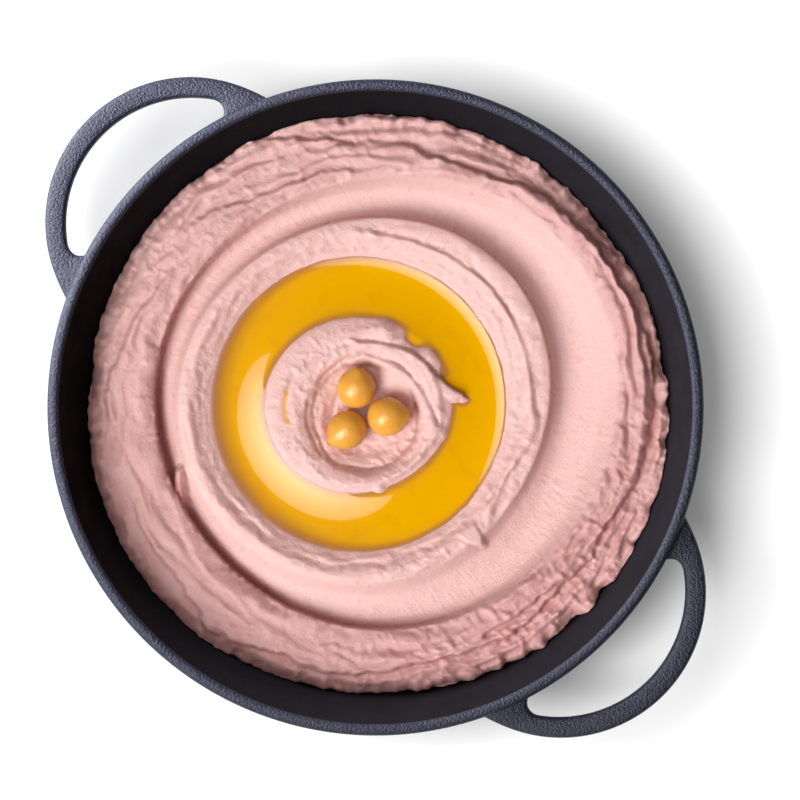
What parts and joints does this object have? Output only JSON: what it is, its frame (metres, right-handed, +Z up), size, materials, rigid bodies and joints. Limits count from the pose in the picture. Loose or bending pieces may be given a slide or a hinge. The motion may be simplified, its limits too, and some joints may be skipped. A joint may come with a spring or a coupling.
{
  "type": "dip in a serving pan",
  "caption": "Swirled pink chickpea dip with a ring of oil and cooked chickpeas, filling a round cast-iron serving pan with loop handles.",
  "frame": {"origin": "middle of the pan's underside, where it stands on the table", "axes": "+Z up, out of the pan's mouth; X along the two handles; Y across them"},
  "size_m": [0.209, 0.168, 0.044],
  "materials": {
    "iron": "matte blue-black enamel on cast iron, finely pebbled outside and smooth inside",
    "dip": "moist satin paste",
    "oil": "glossy liquid",
    "chickpea": "soft gloss, cooked skin"
  },
  "bodies": {
    "root": {"pan": "iron", "handle_right": "iron", "handle_left": "iron", "hummus": "dip", "oil": "oil", "chickpea_1": "chickpea", "chickpea_2": "chickpea", "chickpea_3": "chickpea"}
  },
  "joints": []
}
